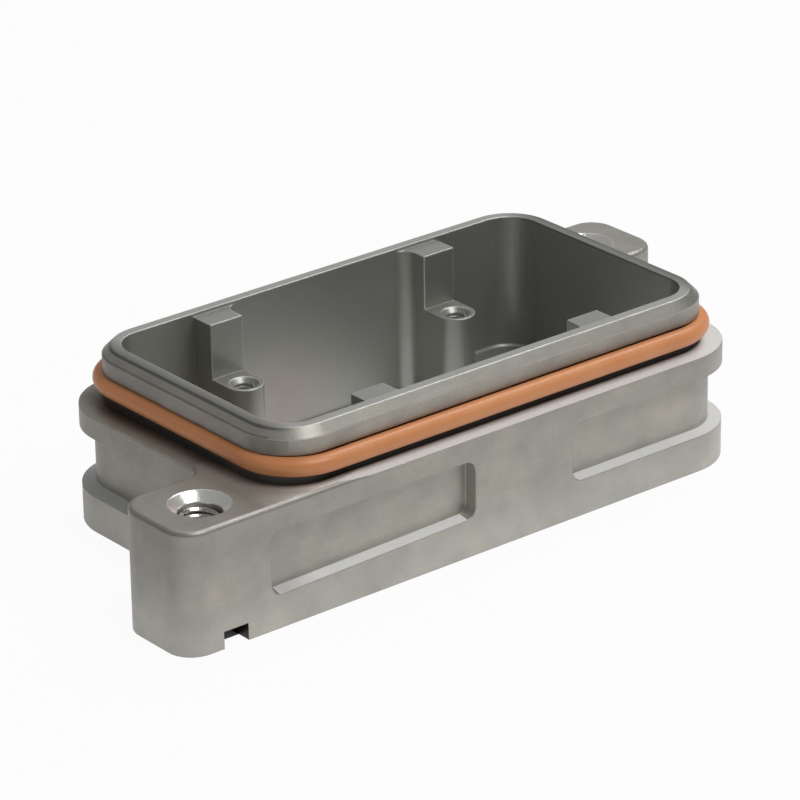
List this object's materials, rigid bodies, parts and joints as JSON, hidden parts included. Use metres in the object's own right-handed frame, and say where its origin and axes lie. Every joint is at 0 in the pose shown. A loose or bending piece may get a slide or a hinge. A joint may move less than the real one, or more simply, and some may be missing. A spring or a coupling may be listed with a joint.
{
  "type": "heavy duty rectangular connector",
  "caption": "Cast bulkhead housing of a rectangular connector: open collar with a sealing ring, waisted flanges, inner screw bosses and diagonal screw ears.",
  "frame": {"origin": "centre of the underside, on the panel face", "axes": "+X along the long side towards the back right ear, +Y towards the back long side, +Z away from the panel, out of the open collar"},
  "size_m": [0.131, 0.0564, 0.0293],
  "materials": {
    "cast_alloy": "as cast, blasted satin",
    "silicone": "smooth, slightly glossy",
    "insert_wire": "bright drawn wire"
  },
  "bodies": {
    "root": {"housing": "cast_alloy", "collar_seal": "silicone", "thread_insert_left": "insert_wire", "thread_insert_right": "insert_wire", "base_seal": "silicone"}
  },
  "joints": []
}
